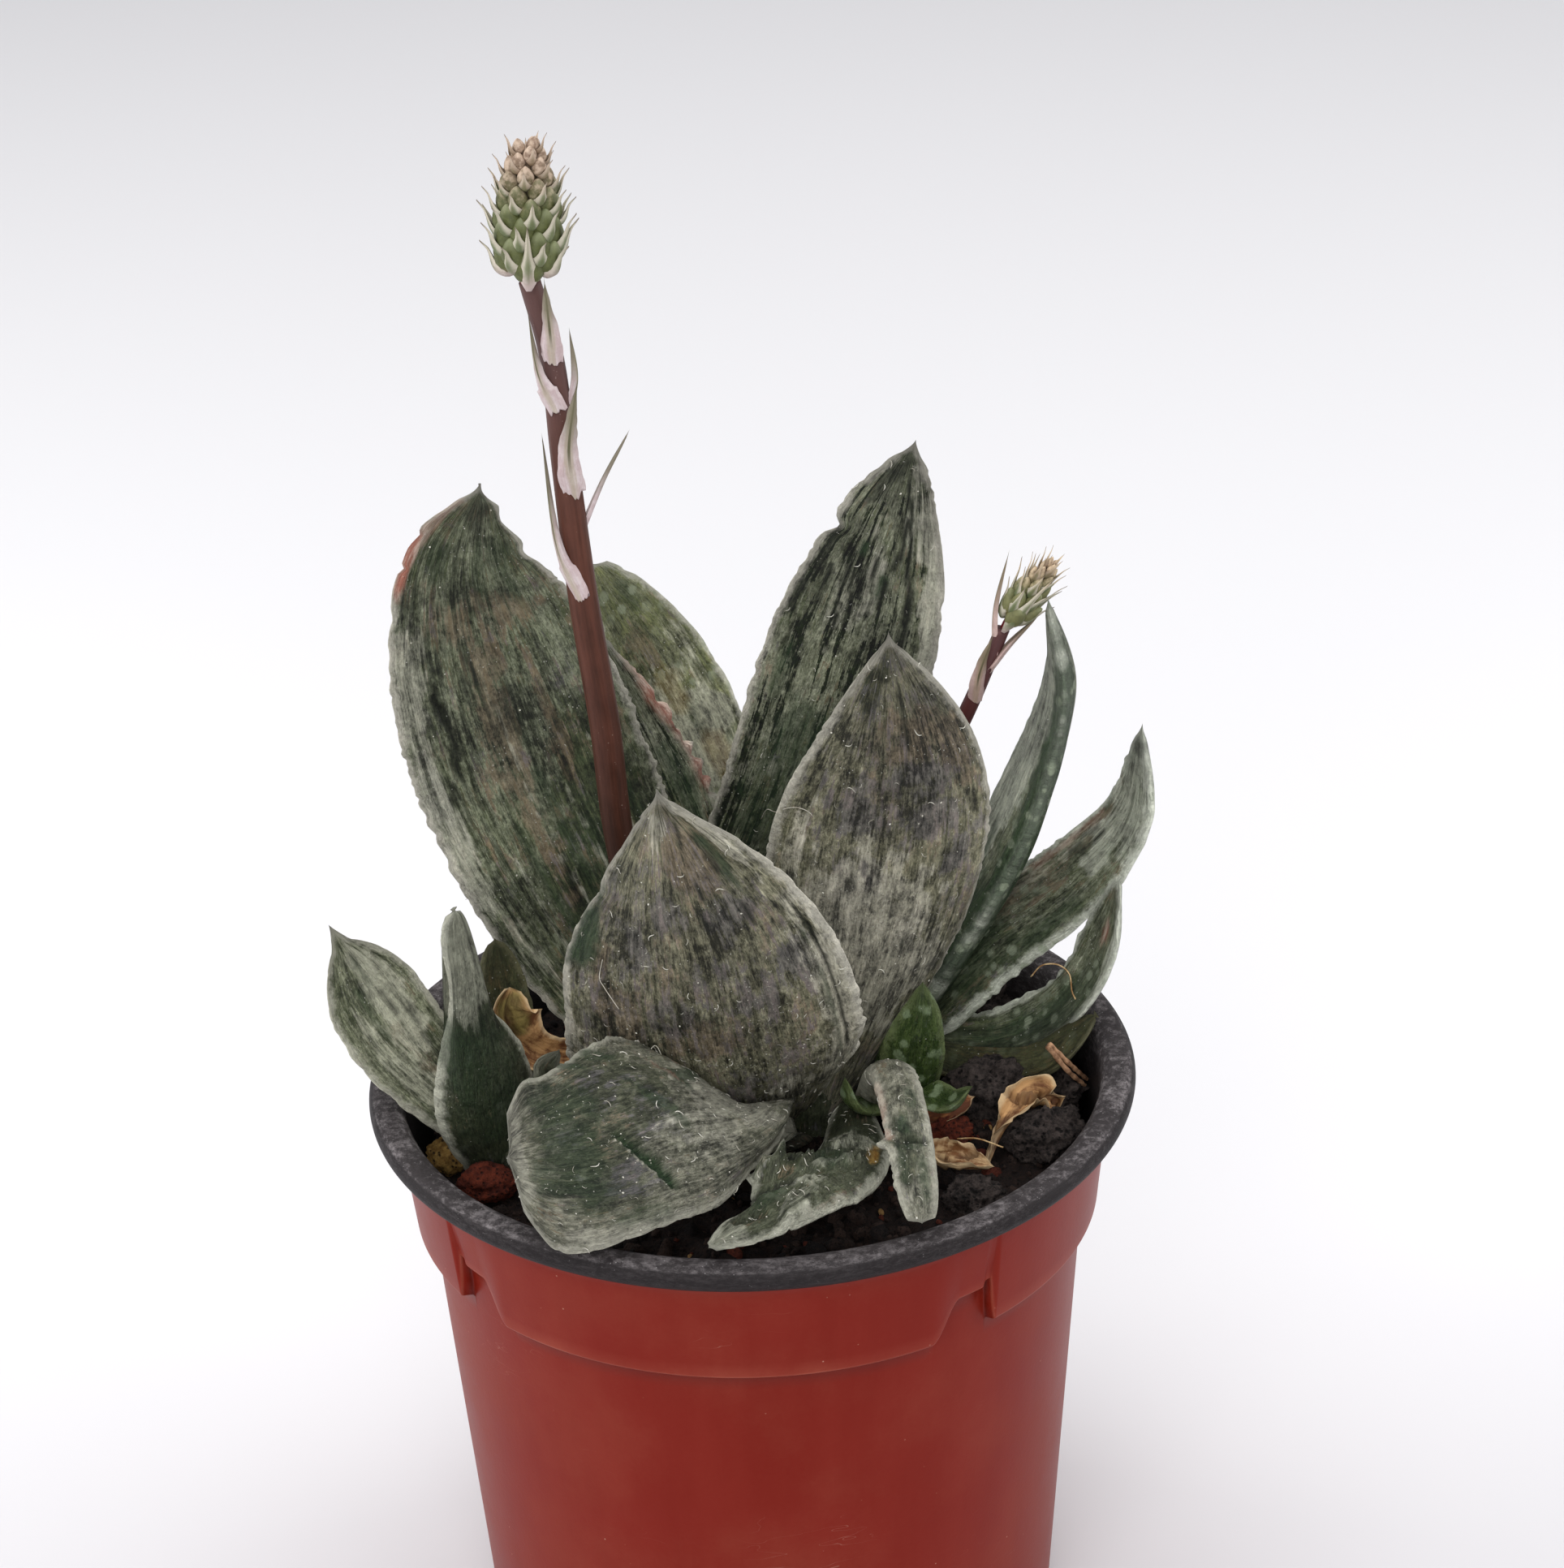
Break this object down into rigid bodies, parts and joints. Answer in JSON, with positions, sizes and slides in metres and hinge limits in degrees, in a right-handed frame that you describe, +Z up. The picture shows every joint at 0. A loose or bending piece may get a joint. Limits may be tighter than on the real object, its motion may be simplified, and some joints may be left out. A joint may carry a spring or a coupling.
{
  "type": "potted gasteria",
  "caption": "Clump of tongue-leaved gasteria with young flower stalks, growing in a round tapered nursery pot with a rolled rim.",
  "frame": {"origin": "centre of the pot's foot, on the surface that it stands on", "axes": "+Z up the pot's axis, -Y towards the best side, +X to the right of it"},
  "size_m": [0.1084, 0.1, 0.2098],
  "materials": {
    "pot": "satin, thermoformed, dusty, black inside and on the rim",
    "soil": "loose dark potting mix",
    "crown": "matt living tissue",
    "leaf": "matt, finely wrinkled, with a silvery dry film",
    "leaf_dark": "matt, dark green with darker streaks",
    "leaf_olive": "matt, olive green",
    "leaf_young": "satin, fresh green with pale spots",
    "leaf_dried": "thin, dry, curled",
    "flower_stalk": "satin, brownish red, with papery bracts",
    "flower_head": "satin, green buds and pale bracts",
    "lava_black": "rough, porous",
    "lava_red": "rough, porous",
    "pumice": "rough, porous",
    "twig": "dry, rough"
  },
  "bodies": {
    "root": {"pot": "pot", "soil": "soil", "crown_main": "crown", "crown_right": "crown", "crown_left": "crown", "crown_pup": "crown", "flower_stalk_main": "flower_stalk", "flower_stalk_small": "flower_stalk", "flower_head_main": "flower_head", "flower_head_small": "flower_head", "leaf_front": "leaf", "leaf_front_right": "leaf", "leaf_low_front": "leaf", "leaf_back_tall": "leaf_dark", "leaf_left_tall": "leaf", "leaf_left_1": "leaf", "leaf_left_2": "leaf", "leaf_right_1": "leaf", "leaf_right_2": "leaf", "leaf_right_3": "leaf", "leaf_hooked": "leaf", "leaf_crumpled": "leaf", "pup_leaf_1": "leaf_young", "pup_leaf_2": "leaf_young", "pup_leaf_3": "leaf_young", "pup_leaf_4": "leaf_young", "leaf_right_4": "leaf_olive", "leaf_back_left": "leaf_olive", "leaf_left_narrow": "leaf", "leaf_left_3": "leaf", "leaf_dark_low": "leaf_dark", "leaf_rear_1": "leaf", "leaf_rear_2": "leaf", "leaf_rear_3": "leaf", "pumice_grain": "pumice", "lava_red_1": "lava_red", "lava_red_2": "lava_red", "lava_black_1": "lava_black", "lava_black_2": "lava_black", "lava_black_3": "lava_black", "lava_black_4": "lava_black", "lava_black_5": "lava_black", "dry_leaf_left": "leaf_dried", "dry_leaf_curl": "leaf_dried", "dry_leaf_flake": "leaf_dried", "dry_leaf_husk": "leaf_dried", "twig": "twig"}
  },
  "joints": []
}
